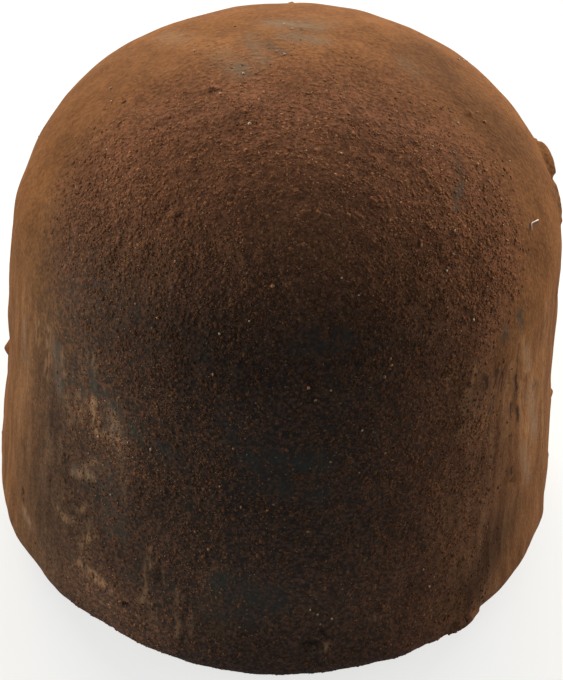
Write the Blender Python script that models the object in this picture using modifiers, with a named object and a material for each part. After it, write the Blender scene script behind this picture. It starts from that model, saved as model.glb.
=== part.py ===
"""Chocolate truffle: one solid, a turned plug with a domed top, roughened by its cocoa crust.

Metres, +Z up. The truffle stands on its flat base, with the origin at the middle of that base.
A place on its surface is an azimuth, in degrees round the upright axis from +X, and a height.
The side that is seen best faces -Y, which is azimuth -90.
"""

import math
import random
from collections import namedtuple

import bmesh
import bpy
from mathutils import Matrix, Vector, noise

MM = 0.001

# Turned body
SHOULDER_RADIUS = 11.25 * MM
SHOULDER_HEIGHT = 14.5 * MM
DOME_RISE = 8.4 * MM
DOME_SQUARENESS = 2.14
WALL_FLARE = 0.64 * MM
FOOT_ROUND = 1.7 * MM
FOOT_RADIUS = SHOULDER_RADIUS + WALL_FLARE
TOTAL_HEIGHT = SHOULDER_HEIGHT + DOME_RISE

# Fineness of the turned body
TURN_STEPS = 88
DOME_STEPS = 19
WALL_STEPS = 16
FOOT_STEPS = 5
BASE_STEPS = 3
WELD_DISTANCE = 0.01 * MM

# Unevenness, each as a wavelength and the depth it reaches either way
BROAD_WAVE = 6.0 * MM
BROAD_DEPTH = 0.10 * MM
CRUST_WAVE = 1.7 * MM
CRUST_DEPTH = 0.07 * MM
FOOT_CHIP_WAVE = 2.4 * MM
FOOT_CHIP_DEPTH = 0.12 * MM
SCUFF_WAVE = 1.9 * MM
SCUFF_LENGTH = 11.0 * MM
SCUFF_DEPTH = 0.06 * MM

# Swells and hollows too broad for a crumb or a pit: a bell along the line between two places
Swell = namedtuple("Swell", "start end half_width rise")
SWELLS = (
    Swell((-122, 0.6 * MM), (-112, 0.9 * MM), 1.9 * MM, -0.11 * MM),
    Swell((-139, 1.2 * MM), (-134, 1.5 * MM), 1.6 * MM, -0.08 * MM),
    Swell((-177, 10.6 * MM), (-175, 13.0 * MM), 1.3 * MM, 0.11 * MM),
    Swell((-44, 17.0 * MM), (-50, 12.0 * MM), 0.9 * MM, 0.08 * MM),
    Swell((-30, 9.4 * MM), (-28, 7.6 * MM), 1.4 * MM, 0.06 * MM),
    Swell((-154, 4.6 * MM), (-156, 3.4 * MM), 1.0 * MM, -0.09 * MM),
)

# A mark is a rough ellipsoid set into the surface. Its half sizes are in millimetres round the
# body, up its profile and outwards; its rise is how far it stands out, or how deep it cuts if
# negative; its turn is in degrees.
Mark = namedtuple("Mark", "name azimuth height half_size rise turn")
FLAKES = (
    Mark("shoulder_flake", 14.5, 17.4 * MM, (0.95, 0.52, 0.50), 0.38 * MM, 27),
    Mark("shoulder_flake_tail", 6.5, 16.6 * MM, (1.20, 0.40, 0.40), 0.17 * MM, 27),
    Mark("foot_burr", -45.0, 1.0 * MM, (1.00, 0.55, 0.60), 0.30 * MM, 0),
    Mark("foot_burr_tail", -51.5, 0.9 * MM, (0.80, 0.40, 0.45), 0.12 * MM, 6),
    Mark("hole_lip", -77.8, 2.35 * MM, (0.34, 0.20, 0.30), 0.16 * MM, -15),
    Mark("left_crumb", -176.5, 8.1 * MM, (0.30, 0.24, 0.28), 0.17 * MM, 0),
    Mark("low_front_chip", -66.0, 4.2 * MM, (0.42, 0.18, 0.24), 0.13 * MM, 35),
)
PITS = (
    Mark("front_hole", -81.0, 2.6 * MM, (0.40, 0.26, 0.36), -0.30 * MM, -6),
    Mark("left_hollow", -153.7, 4.0 * MM, (0.30, 0.40, 0.30), -0.16 * MM, 10),
    Mark("right_pit", -32.0, 7.4 * MM, (0.22, 0.26, 0.26), -0.16 * MM, 0),
    Mark("right_groove", -33.5, 12.1 * MM, (0.14, 1.20, 0.22), -0.14 * MM, 4),
    Mark("left_scratch", -111.8, 5.4 * MM, (0.16, 0.70, 0.22), -0.13 * MM, 8),
    Mark("left_scratch_low", -106.0, 3.8 * MM, (0.15, 0.85, 0.22), -0.12 * MM, -5),
    Mark("left_pit", -119.0, 3.0 * MM, (0.24, 0.20, 0.26), -0.15 * MM, 0),
)
FLAKE_FINENESS = 2

# Crumbs of cocoa crust spread over the dome and the wall
CRUMB_COUNT = 60
CRUMB_SEED = 4
PIT_SEED = 9
CRUMB_HALF_SIZES = (0.17, 0.30)
CRUMB_FLATNESS = 0.75
CRUMB_SHARE_OUT = 0.6
CRUMB_FINENESS = 1
CRUMB_LOWEST = 2.4 * MM
CRUMB_HIGHEST = TOTAL_HEIGHT - 0.1 * MM
CRUMB_CLEARANCE = 1.3 * MM
CRUMB_TRIES = 40
GOLDEN_ANGLE = 137.5
AZIMUTH_SPREAD = 12.0
ROUGHNESS_OF_FACETS = 0.14

# Finish
COCOA_COLOUR = (0.105, 0.046, 0.024, 1.0)
COCOA_ROUGHNESS = 0.82
SMOOTHING_LIMIT = math.radians(38)


def clear_scene():
    for old in list(bpy.data.objects):
        bpy.data.objects.remove(old, do_unlink=True)


def new_collection(name):
    made = bpy.data.collections.new(name)
    bpy.context.scene.collection.children.link(made)
    return made


def body_radius(height):
    """Radius of the turned body at a height, from the round of the foot to the top of the dome."""
    if height >= SHOULDER_HEIGHT:
        share = min((height - SHOULDER_HEIGHT) / DOME_RISE, 1.0)
        return SHOULDER_RADIUS * (1 - share**DOME_SQUARENESS) ** (1 / DOME_SQUARENESS)
    if height >= FOOT_ROUND:
        drop = (SHOULDER_HEIGHT - height) / (SHOULDER_HEIGHT - FOOT_ROUND)
        return SHOULDER_RADIUS + WALL_FLARE * drop
    rise = (FOOT_ROUND - max(height, 0.0)) / FOOT_ROUND
    return FOOT_RADIUS - FOOT_ROUND + FOOT_ROUND * math.sqrt(1 - rise * rise)


def profile_points():
    """Half outline of the body at +X, from the top of the dome down to the middle of the base."""
    points = []
    power = 2 / DOME_SQUARENESS
    for step in range(DOME_STEPS):
        angle = math.pi / 2 * step / DOME_STEPS
        radius = SHOULDER_RADIUS * math.sin(angle) ** power
        points.append((radius, SHOULDER_HEIGHT + DOME_RISE * math.cos(angle) ** power))
    for step in range(WALL_STEPS):
        height = SHOULDER_HEIGHT - (SHOULDER_HEIGHT - FOOT_ROUND) * step / WALL_STEPS
        points.append((body_radius(height), height))
    for step in range(FOOT_STEPS + 1):
        angle = math.pi / 2 * step / FOOT_STEPS
        radius = FOOT_RADIUS - FOOT_ROUND + FOOT_ROUND * math.cos(angle)
        points.append((radius, FOOT_ROUND - FOOT_ROUND * math.sin(angle)))
    flat_radius = FOOT_RADIUS - FOOT_ROUND
    for step in range(1, BASE_STEPS + 1):
        points.append((flat_radius * (1 - step / BASE_STEPS), 0.0))
    return points


def surface_place(azimuth, height):
    """Point on the turned body, with a frame there: round the body, up its profile, outwards."""
    around = math.radians(azimuth)
    outward = Vector((math.cos(around), math.sin(around), 0))
    reach = 0.05 * MM
    low = max(height - reach, 0.0)
    high = min(height + reach, TOTAL_HEIGHT)
    slope = Vector((body_radius(high) - body_radius(low), high - low)).normalized()
    along = outward * slope.x + Vector((0, 0, slope.y))
    side = Vector((-outward.y, outward.x, 0))
    point = outward * body_radius(height) + Vector((0, 0, height))
    return point, side, along, side.cross(along)


def distance_to_line(point, start, end):
    run = end - start
    share = max(0.0, min(1.0, (point - start).dot(run) / run.length_squared))
    return (point - start - run * share).length


def swell_lines():
    lines = []
    for swell in SWELLS:
        start = surface_place(*swell.start)[0]
        end = surface_place(*swell.end)[0]
        lines.append((start, end, swell.half_width, swell.rise))
    return lines


def relief(point, lines):
    """How far the surface stands out at a point: broad unevenness, crust, scuffs and swells."""
    rise = BROAD_DEPTH * noise.noise(point / BROAD_WAVE)
    rise += CRUST_DEPTH * noise.noise(point / CRUST_WAVE)
    if point.z < SHOULDER_HEIGHT:
        stretched = Vector((point.x / SCUFF_WAVE, point.y / SCUFF_WAVE, point.z / SCUFF_LENGTH))
        rise += SCUFF_DEPTH * noise.noise(stretched)
    if point.z < FOOT_ROUND:
        rise += FOOT_CHIP_DEPTH * noise.noise(point / FOOT_CHIP_WAVE)
    for start, end, half_width, height in lines:
        rise += height * math.exp(-((distance_to_line(point, start, end) / half_width) ** 2))
    return rise


def turn_body(collection):
    """Screws the profile round the upright axis and returns the closed body as a plain mesh."""
    points = profile_points()
    outline = bpy.data.meshes.new("truffle_profile")
    edges = [(index, index + 1) for index in range(len(points) - 1)]
    outline.from_pydata([(radius, 0, height) for radius, height in points], edges, [])
    body = bpy.data.objects.new("truffle", outline)
    collection.objects.link(body)
    screw = body.modifiers.new("turn", "SCREW")
    screw.axis = "Z"
    screw.angle = math.tau
    screw.steps = TURN_STEPS
    screw.render_steps = TURN_STEPS
    screw.use_merge_vertices = True
    screw.merge_threshold = WELD_DISTANCE
    apply_modifiers(body)
    return body


def apply_modifiers(thing):
    """Replaces the mesh of an object with what its modifiers make of it."""
    bpy.context.view_layer.update()
    evaluated = thing.evaluated_get(bpy.context.evaluated_depsgraph_get())
    old = thing.data
    made = bpy.data.meshes.new_from_object(evaluated)
    made.name = thing.name
    thing.modifiers.clear()
    thing.data = made
    bpy.data.meshes.remove(old)


def roughen(body):
    """Moves the surface out and in; the foot moves only sideways, so the base stays flat."""
    lines = swell_lines()
    mesh = bmesh.new()
    mesh.from_mesh(body.data)
    flat_radius = FOOT_RADIUS - FOOT_ROUND
    moves = []
    for vertex in mesh.verts:
        place = vertex.co
        radius = math.hypot(place.x, place.y)
        if place.z < WELD_DISTANCE and radius < flat_radius - WELD_DISTANCE:
            continue
        direction = vertex.normal.copy()
        if place.z < FOOT_ROUND:
            direction = Vector((place.x, place.y, 0)).normalized()
        moves.append((vertex, direction * relief(place, lines)))
    for vertex, move in moves:
        vertex.co += move
    mesh.to_mesh(body.data)
    mesh.free()


def nugget(mark, fineness, rng, collection):
    """Rough ellipsoid whose outer end stands out by the mark's rise, or whose inner end cuts."""
    point, side, along, outward = surface_place(mark.azimuth, mark.height)
    half_size = Vector(mark.half_size) * MM
    middle = point + outward * (mark.rise - math.copysign(half_size.z, mark.rise))
    spin = Matrix.Rotation(math.radians(mark.turn), 3, "Z")
    frame = Matrix((side, along, outward)).transposed() @ spin @ Matrix.Diagonal(half_size)
    shape = bmesh.new()
    bmesh.ops.create_icosphere(shape, subdivisions=fineness, radius=1.0)
    for vertex in shape.verts:
        swelling = 1 + rng.uniform(-ROUGHNESS_OF_FACETS, ROUGHNESS_OF_FACETS)
        vertex.co = middle + frame @ (vertex.co * swelling)
    mesh = bpy.data.meshes.new(mark.name)
    shape.to_mesh(mesh)
    shape.free()
    made = bpy.data.objects.new(mark.name, mesh)
    collection.objects.link(made)
    return made


def crumb_marks(rng):
    """Crumbs spread evenly over dome and wall, as equal steps of height hold equal area."""
    taken = [surface_place(mark.azimuth, mark.height)[0] for mark in FLAKES + PITS]
    crumbs = []
    for index in range(CRUMB_COUNT):
        for _ in range(CRUMB_TRIES):
            azimuth = index * GOLDEN_ANGLE + rng.uniform(-AZIMUTH_SPREAD, AZIMUTH_SPREAD)
            share = (index + rng.random()) / CRUMB_COUNT
            height = CRUMB_LOWEST + (CRUMB_HIGHEST - CRUMB_LOWEST) * share
            point = surface_place(azimuth, height)[0]
            if all((point - other).length > CRUMB_CLEARANCE for other in taken):
                taken.append(point)
                reach = rng.uniform(*CRUMB_HALF_SIZES)
                half_size = (reach, reach * rng.uniform(CRUMB_FLATNESS, 1), reach * CRUMB_FLATNESS)
                rise = half_size[2] * CRUMB_SHARE_OUT * MM
                turn = rng.uniform(0, 180)
                name = "crumb_%02d" % index
                crumbs.append(Mark(name, azimuth, height, half_size, rise, turn))
                break
    return crumbs


def add_raised_pieces(body, collection):
    """Fuses the flakes and crumbs to the body with one union, and removes their own objects."""
    rng = random.Random(CRUMB_SEED)
    for flake in FLAKES:
        nugget(flake, FLAKE_FINENESS, rng, collection)
    for crumb in crumb_marks(rng):
        nugget(crumb, CRUMB_FINENESS, rng, collection)
    union = body.modifiers.new("raised pieces", "BOOLEAN")
    union.operation = "UNION"
    union.operand_type = "COLLECTION"
    union.collection = collection
    apply_modifiers(body)
    for piece in list(collection.objects):
        bpy.data.objects.remove(piece, do_unlink=True)


def cut_pits(body, collection):
    """Cuts every pit and scratch with its own sunk ellipsoid."""
    rng = random.Random(PIT_SEED)
    for pit in PITS:
        cutter = nugget(pit, FLAKE_FINENESS, rng, collection)
        cutter.hide_render = True
        cutter.display_type = "WIRE"
    cut = body.modifiers.new("pits", "BOOLEAN")
    cut.operation = "DIFFERENCE"
    cut.operand_type = "COLLECTION"
    cut.collection = collection


def cocoa_material():
    made = bpy.data.materials.new("cocoa_crust")
    made.use_nodes = True
    shader = made.node_tree.nodes["Principled BSDF"]
    shader.inputs["Base Color"].default_value = COCOA_COLOUR
    shader.inputs["Roughness"].default_value = COCOA_ROUGHNESS
    shader.inputs["Metallic"].default_value = 0.0
    made.diffuse_color = COCOA_COLOUR
    return made


def build():
    clear_scene()
    parts = new_collection("chocolate_truffle")
    raised = new_collection("raised_pieces")
    cutters = new_collection("cutters")
    body = turn_body(parts)
    roughen(body)
    add_raised_pieces(body, raised)
    bpy.data.collections.remove(raised)
    body.data.materials.append(cocoa_material())
    body.data.shade_smooth()
    body.data.set_sharp_from_angle(angle=SMOOTHING_LIMIT)
    cut_pits(body, cutters)


build()
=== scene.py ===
"""Chocolate truffle dusted with cocoa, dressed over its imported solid.

Metres, +Z up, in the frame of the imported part, with the origin at the middle of the flat base.
The body repeats the turned and roughened form of the solid on a finer mesh, with the crags of its
crust, and loose grains of cocoa lie on it. A place on the surface is an azimuth, in degrees round
the upright axis from +X, and a height, or else a pixel of the photograph, cast onto the body.
"""

import math
import random
from collections import namedtuple

import bmesh
import bpy
import numpy as np
from mathutils import Matrix, Vector, noise


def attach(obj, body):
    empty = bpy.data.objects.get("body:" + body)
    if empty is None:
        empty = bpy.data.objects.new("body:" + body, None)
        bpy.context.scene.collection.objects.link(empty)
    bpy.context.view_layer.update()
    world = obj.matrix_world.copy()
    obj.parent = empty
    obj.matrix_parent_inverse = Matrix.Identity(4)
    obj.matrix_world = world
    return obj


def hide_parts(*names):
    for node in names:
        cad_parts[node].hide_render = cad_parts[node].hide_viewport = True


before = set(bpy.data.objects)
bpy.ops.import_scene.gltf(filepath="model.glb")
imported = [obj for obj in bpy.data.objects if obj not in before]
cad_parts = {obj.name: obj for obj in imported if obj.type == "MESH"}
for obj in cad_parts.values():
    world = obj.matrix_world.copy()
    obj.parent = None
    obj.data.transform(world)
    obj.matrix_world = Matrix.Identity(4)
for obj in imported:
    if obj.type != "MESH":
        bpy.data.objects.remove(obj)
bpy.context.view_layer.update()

MM = 0.001
HAIR = 1e-7
ALMOST_NONE = 1e-9

# Photograph and camera
PHOTO_WIDTH = 563
PHOTO_HEIGHT = 680
SENSOR = 36.0
LENS = 192.3
CAMERA_DISTANCE = 150 * MM
CAMERA_ELEVATION = math.radians(41.14)
CAMERA_ROLL = math.radians(3.515)
AIM_HEIGHT = 8.87 * MM
CLIP_START = 5 * MM
RAY_REACH = 22 * MM
RAY_STEP = 0.02 * MM

# Turned body, as the solid has it
SHOULDER_RADIUS = 11.25 * MM
SHOULDER_HEIGHT = 14.5 * MM
DOME_RISE = 8.4 * MM
DOME_SQUARENESS = 2.14
WALL_FLARE = 0.64 * MM
FOOT_ROUND = 1.7 * MM
FOOT_RADIUS = SHOULDER_RADIUS + WALL_FLARE
TOTAL_HEIGHT = SHOULDER_HEIGHT + DOME_RISE

# Fineness of the dressed body
AROUND = 480
DOME_ROWS = 98
WALL_ROWS = 84
FOOT_ROWS = 14
BASE_ROWS = 2

# Unevenness of the solid, each as a wavelength and the depth it reaches either way
BROAD_WAVE = 6.0 * MM
BROAD_DEPTH = 0.10 * MM
CRUST_WAVE = 1.7 * MM
CRUST_DEPTH = 0.07 * MM
FOOT_CHIP_WAVE = 2.4 * MM
FOOT_CHIP_DEPTH = 0.12 * MM
SCUFF_WAVE = 1.9 * MM
SCUFF_LENGTH = 11.0 * MM
SCUFF_DEPTH = 0.06 * MM

# Crags of the crust, finer than the solid carries: settled towards the top, calm where the crust
# turns away from the camera, in degrees, and drawn out where it is smeared
CRAG_WAVES = ((0.95 * MM, 0.030 * MM), (0.55 * MM, 0.040 * MM), (0.40 * MM, 0.029 * MM))
SETTLED_FROM = 19.4 * MM
SETTLED_FULL = 22.2 * MM
SETTLED_SHARE = 0.50
CRAG_CALM_LOSS = 0.85
CRAG_RUBBED_LOSS = 0.30
CRAG_BLOOM_LOSS = 0.80
CALM_FROM = 37.0
CALM_FULL = 64.0
CALM_WALL_FROM = 54.0
CALM_WALL_FULL = 68.0
CALM_WALL_FADE = 3.0 * MM
CALM_PAST = 92.0
CALM_GONE = 142.0
CALM_BEHIND = 0.40
SMEAR_WAVE = 0.50 * MM
SMEAR_LENGTH = 3.0 * MM
SMEAR_DEPTH = 0.028 * MM
SMEAR_CALM_LOSS = 0.70

Swell = namedtuple("Swell", "start end half_width rise")
SWELLS = (
    Swell((-122, 0.6 * MM), (-112, 0.9 * MM), 1.9 * MM, -0.11 * MM),
    Swell((-139, 1.2 * MM), (-134, 1.5 * MM), 1.6 * MM, -0.08 * MM),
    Swell((-177, 10.6 * MM), (-175, 13.0 * MM), 1.3 * MM, 0.11 * MM),
    Swell((-44, 17.0 * MM), (-50, 12.0 * MM), 0.9 * MM, 0.08 * MM),
    Swell((-30, 9.4 * MM), (-28, 7.6 * MM), 1.4 * MM, 0.06 * MM),
    Swell((-154, 4.6 * MM), (-156, 3.4 * MM), 1.0 * MM, -0.09 * MM),
)

# Flakes, pits and crumbs of the solid: half sizes in millimetres round the body, up its profile
# and outwards, how far each stands out or cuts in, and its turn in degrees
Mark = namedtuple("Mark", "name azimuth height half_size rise turn")
FLAKES = (
    Mark("shoulder_flake", 14.5, 17.4 * MM, (0.95, 0.52, 0.50), 0.38 * MM, 27),
    Mark("shoulder_flake_tail", 6.5, 16.6 * MM, (1.20, 0.40, 0.40), 0.17 * MM, 27),
    Mark("foot_burr", -45.0, 1.0 * MM, (1.00, 0.55, 0.60), 0.30 * MM, 0),
    Mark("foot_burr_tail", -51.5, 0.9 * MM, (0.80, 0.40, 0.45), 0.12 * MM, 6),
    Mark("hole_lip", -77.8, 2.35 * MM, (0.34, 0.20, 0.30), 0.16 * MM, -15),
    Mark("left_crumb", -176.5, 8.1 * MM, (0.30, 0.24, 0.28), 0.17 * MM, 0),
    Mark("low_front_chip", -66.0, 4.2 * MM, (0.42, 0.18, 0.24), 0.13 * MM, 35),
)
PITS = (
    Mark("front_hole", -81.0, 2.6 * MM, (0.40, 0.26, 0.36), -0.30 * MM, -6),
    Mark("left_hollow", -153.7, 4.0 * MM, (0.30, 0.40, 0.30), -0.16 * MM, 10),
    Mark("right_pit", -32.0, 7.4 * MM, (0.22, 0.26, 0.26), -0.16 * MM, 0),
    Mark("right_groove", -33.5, 12.1 * MM, (0.14, 1.20, 0.22), -0.14 * MM, 4),
    Mark("left_scratch", -111.8, 5.4 * MM, (0.16, 0.70, 0.22), -0.13 * MM, 8),
    Mark("left_scratch_low", -106.0, 3.8 * MM, (0.15, 0.85, 0.22), -0.12 * MM, -5),
    Mark("left_pit", -119.0, 3.0 * MM, (0.24, 0.20, 0.26), -0.15 * MM, 0),
)
FLAKE_FACET_DRAWS = 42
CRUMB_COUNT = 60
CRUMB_SEED = 4
CRUMB_HALF_SIZES = (0.17, 0.30)
CRUMB_FLATNESS = 0.75
CRUMB_SHARE_OUT = 0.6
CRUMB_LOWEST = 2.4 * MM
CRUMB_HIGHEST = TOTAL_HEIGHT - 0.1 * MM
CRUMB_CLEARANCE = 1.3 * MM
CRUMB_TRIES = 40
GOLDEN_ANGLE = 137.5
AZIMUTH_SPREAD = 12.0
MARK_RAGGEDNESS = 0.35
MARK_WEAR = 0.04 * MM
MARK_RAG_WAVE = 0.30 * MM
MARK_SEARCH = 1.6
MARK_CRUST = 0.3

# Strokes over the crust, from one pixel of the photograph to another, with a half width on the
# truffle in millimetres and a strength. Haze is a pale film of dust, partly a painted sheen of the
# bright surroundings; bloom is bare chocolate with a grey cast; tone is paler or darker cocoa, its
# darkest spots partly painted shade in pits, chips and the notch of the foot; and the painted light
# and shade strokes are broad parts painted lighter or darker by a share where light falls more or
# less on them.
Stroke = namedtuple("Stroke", "from_x from_y to_x to_y half_width strength")


def strokes(*rows):
    return [Stroke(*row) for row in rows]


# Haze: pale dust, partly a painted sheen of the bright surroundings at the top of the dome
HAZE_AND_SHEEN = strokes(
    (272, 23, 318, 26, 0.55, 0.9), (286, 37, 318, 40, 0.50, 0.8),
    (252, 38, 262, 60, 0.50, 0.5), (236, 64, 243, 70, 0.55, 0.8),
    (222, 56, 232, 60, 0.60, 0.4), (406, 62, 412, 70, 0.50, 0.5),
    (165, 34, 180, 38, 0.50, 0.6), (300, 20, 330, 24, 0.60, 0.3),
    (24, 322, 24, 362, 0.22, 0.7), (56, 348, 60, 388, 0.34, 0.5),
    (112, 414, 118, 440, 0.45, 0.5), (526, 350, 529, 368, 0.25, 0.8),
    (521, 448, 530, 478, 0.35, 0.6), (531, 388, 536, 432, 0.45, 0.8),
    (100, 478, 112, 520, 0.90, 0.22), (76, 472, 91, 475, 0.30, 0.6),
    (22, 512, 30, 524, 0.26, 0.8),
)
BLOOM = strokes(
    (269, 44, 286, 52, 0.42, 0.60), (239, 65, 243, 72, 0.28, 0.55),
    (461, 182, 457, 207, 0.32, 1.0), (452, 150, 461, 182, 0.40, 0.5),
    (521, 311, 521, 328, 0.35, 0.9), (506, 326, 506, 337, 0.30, 0.7),
    (487, 386, 487, 392, 0.25, 0.6), (434, 457, 434, 459, 0.25, 0.8),
    (449, 442, 449, 445, 0.25, 0.6), (108, 396, 142, 436, 0.48, 0.95),
    (107, 466, 115, 504, 0.42, 0.50), (120, 516, 128, 530, 0.36, 0.6),
    (60, 538, 74, 556, 0.50, 0.35), (59, 348, 62, 378, 0.45, 0.75),
    (71, 375, 82, 391, 0.45, 0.8), (93, 356, 96, 398, 0.35, 0.8),
    (118, 398, 128, 417, 0.38, 0.8), (132, 420, 170, 456, 0.55, 0.7),
    (24, 346, 24, 358, 0.30, 0.6), (250, 458, 318, 462, 0.80, 0.95),
    (262, 485, 318, 496, 0.80, 0.8), (306, 346, 346, 340, 0.75, 0.7),
    (225, 415, 232, 445, 0.45, 0.7), (203, 345, 207, 372, 0.40, 0.6),
    (105, 510, 160, 595, 1.80, 0.42), (228, 584, 270, 600, 1.15, 0.85),
    (206, 610, 254, 618, 0.85, 0.70), (114, 528, 128, 534, 0.50, 0.6),
    (124, 574, 130, 577, 0.50, 0.6), (166, 580, 170, 592, 0.45, 0.6),
    (120, 626, 128, 630, 0.45, 0.5), (317, 325, 318, 345, 0.30, 0.6),
    (330, 380, 345, 402, 0.50, 0.4),
)
# Tone: tan streaks, and dark spots that are partly darker cocoa and partly painted shade in pits, chips
# and the notch of the foot
TONE = strokes(
    (48, 330, 47, 376, 0.22, 0.9), (37, 322, 38, 346, 0.22, 0.7),
    (62, 348, 65, 374, 0.16, 0.6), (95, 350, 97, 376, 0.12, 0.6),
    (68, 398, 72, 424, 0.40, 0.6), (80, 398, 83, 420, 0.30, 0.6),
    (93, 400, 98, 432, 0.28, 1.0), (113, 412, 117, 436, 0.28, 0.6),
    (104, 436, 116, 438, 0.28, 0.5), (74, 474, 91, 476, 0.26, 1.0),
    (83, 465, 95, 462, 0.18, 0.7), (120, 445, 126, 500, 0.25, 0.4),
    (60, 440, 64, 500, 0.25, 0.35), (22, 508, 31, 526, 0.26, 0.9),
    (60, 508, 66, 518, 0.20, 0.9), (66, 518, 75, 520, 0.18, 0.7),
    (77, 511, 92, 507, 0.13, 0.8), (89, 539, 96, 534, 0.18, 0.7),
    (45, 514, 48, 548, 0.12, 0.7), (521, 374, 521, 416, 0.16, 1.0),
    (518, 427, 528, 430, 0.24, 0.8), (524, 337, 526, 372, 0.18, 0.9),
    (533, 378, 534, 430, 0.35, 0.6), (530, 350, 530, 372, 0.14, 0.7),
    (524, 385, 524, 420, 0.12, 0.7), (545, 302, 543, 470, 0.24, 0.7),
    (513, 364, 503, 412, 0.20, 1.0), (498, 398, 495, 416, 0.13, 0.9),
    (488, 398, 485, 418, 0.13, 0.7), (505, 422, 502, 455, 0.22, 0.7),
    (471, 398, 466, 436, 0.15, 0.8), (498, 330, 492, 352, 0.14, 0.6),
    (165, 36, 225, 48, 0.90, 0.40), (476, 362, 467, 388, 0.18, 0.9),
    (467, 388, 460, 430, 0.20, 1.0), (507, 386, 507, 391, 0.20, 0.5),
    (448, 190, 449, 203, 0.25, 0.4), (81, 562, 94, 576, 0.28, 1.0),
    (94, 576, 112, 590, 0.24, 0.9), (152, 550, 142, 603, 0.20, 0.8),
    (153, 603, 155, 628, 0.16, 0.6), (179, 590, 177, 637, 0.18, 0.6),
    (190, 610, 192, 637, 0.14, 0.5), (88, 520, 84, 548, 0.22, 0.6),
    (314, 650, 327, 646, 0.22, 0.9), (369, 617, 379, 617, 0.18, 0.9),
    (390, 359, 392, 361, 0.14, 0.9), (382, 376, 384, 376, 0.14, 0.9),
    (547, 152, 554, 192, 0.45, -0.55), (552, 192, 557, 206, 0.30, -0.35),
    (302, 647, 317, 644, 0.17, -1.0), (322, 634, 324, 636, 0.22, -0.7),
    (465, 618, 459, 624, 0.20, -0.9), (521, 551, 521, 551, 0.20, -0.7),
    (511, 468, 511, 472, 0.18, -0.8), (22, 491, 22, 501, 0.18, -1.0),
    (503, 368, 501, 394, 0.16, -1.0), (484, 376, 486, 394, 0.24, -0.8),
    (494, 396, 491, 416, 0.15, -0.9), (508, 394, 506, 412, 0.13, -0.7),
    (490, 422, 486, 442, 0.20, -0.6), (479, 398, 474, 430, 0.15, -0.7),
    (478, 455, 476, 480, 0.20, -0.5), (517, 376, 518, 419, 0.18, -1.0),
    (540, 420, 540, 438, 0.14, -0.4), (296, 22, 298, 25, 0.12, -0.6),
    (305, 21, 307, 24, 0.12, -0.5), (301, 30, 303, 32, 0.12, -0.5),
    (157, 571, 157, 578, 0.18, -0.4), (184, 606, 185, 622, 0.16, -0.4),
    (183, 640, 184, 644, 0.20, -0.4), (128, 605, 128, 607, 0.20, -0.6),
    (519, 345, 517, 370, 0.12, -0.6), (527, 376, 526, 400, 0.10, -0.5),
    (536, 350, 535, 400, 0.12, -0.4), (530, 432, 529, 446, 0.14, -0.5),
    (497, 366, 494, 386, 0.16, -0.8), (489, 400, 487, 414, 0.13, -0.8),
    (512, 404, 511, 418, 0.13, -0.9), (506, 440, 504, 458, 0.14, -0.6),
    (496, 446, 493, 466, 0.17, -0.6), (519, 470, 518, 500, 0.14, -0.5),
    (500, 500, 497, 530, 0.17, -0.5), (52, 400, 52, 440, 0.14, -0.5),
    (100, 376, 104, 396, 0.18, -0.6), (64, 430, 66, 462, 0.14, -0.5),
    (80, 440, 82, 460, 0.16, -0.5), (96, 484, 98, 506, 0.16, -0.5),
    (72, 530, 76, 552, 0.16, -0.5), (110, 545, 112, 566, 0.16, -0.5),
    (132, 545, 133, 566, 0.16, -0.5), (168, 558, 168, 580, 0.14, -0.5),
)
# Painted light and shade: broad parts painted lighter or darker by a share where light falls more or less
# on them
PAINTED_LIGHT_AND_SHADE = strokes(
    (430, 55, 500, 130, 1.8, -0.38), (66, 98, 78, 180, 1.3, -0.15),
    (118, 56, 140, 64, 1.3, -0.16), (230, 52, 340, 54, 1.3, 0.14),
    (124, 140, 130, 185, 1.3, 0.14), (275, 180, 290, 185, 1.1, 0.18),
    (430, 178, 434, 186, 1.0, 0.20), (84, 560, 104, 600, 1.4, 0.28),
    (228, 376, 232, 384, 1.2, -0.14), (250, 75, 320, 140, 1.9, 0.12),
    (230, 330, 340, 330, 2.4, -0.26), (176, 330, 186, 344, 1.2, -0.14),
    (45, 325, 75, 300, 1.3, 0.26), (88, 375, 120, 450, 1.7, 0.46),
    (30, 470, 50, 540, 1.5, -0.24), (532, 340, 530, 460, 1.2, 0.28),
    (434, 255, 440, 350, 1.4, -0.10), (430, 420, 430, 520, 1.4, 0.05),
    (484, 465, 488, 560, 1.2, -0.24), (430, 584, 466, 600, 1.2, -0.12),
    (108, 376, 136, 400, 1.1, 0.12), (330, 460, 330, 510, 1.2, 0.10),
    (470, 595, 505, 535, 1.6, -0.38), (478, 295, 484, 305, 1.2, -0.12),
    (200, 590, 340, 600, 2.2, 0.30), (90, 590, 140, 628, 1.6, 0.42),
    (26, 310, 26, 430, 1.4, 0.30), (82, 405, 84, 450, 1.2, 0.25),
    (533, 150, 538, 240, 1.3, -0.16), (470, 385, 455, 440, 0.7, -0.20),
)
STROKE_POINTS = 9

# Wall: smeared with streaks towards the sides, rubbed bare in front and darkened there with painted
# shade, and with thin powder under a cooler cast to the left, the cast partly painted cool light of
# the shade. Angles are in degrees from the front.
FRONT_AZIMUTH = -90.0
RUBBED_AND_SHADED_SHIFT = -11.0
SMEAR_FROM = 29.0
SMEAR_FULL = 60.0
SMEAR_PAST = 80.0
SMEAR_GONE = 135.0
SMEAR_BEHIND = 0.25
SMEAR_TOP = SHOULDER_HEIGHT + 1.0 * MM
SMEAR_FADE = 2.6 * MM
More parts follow.
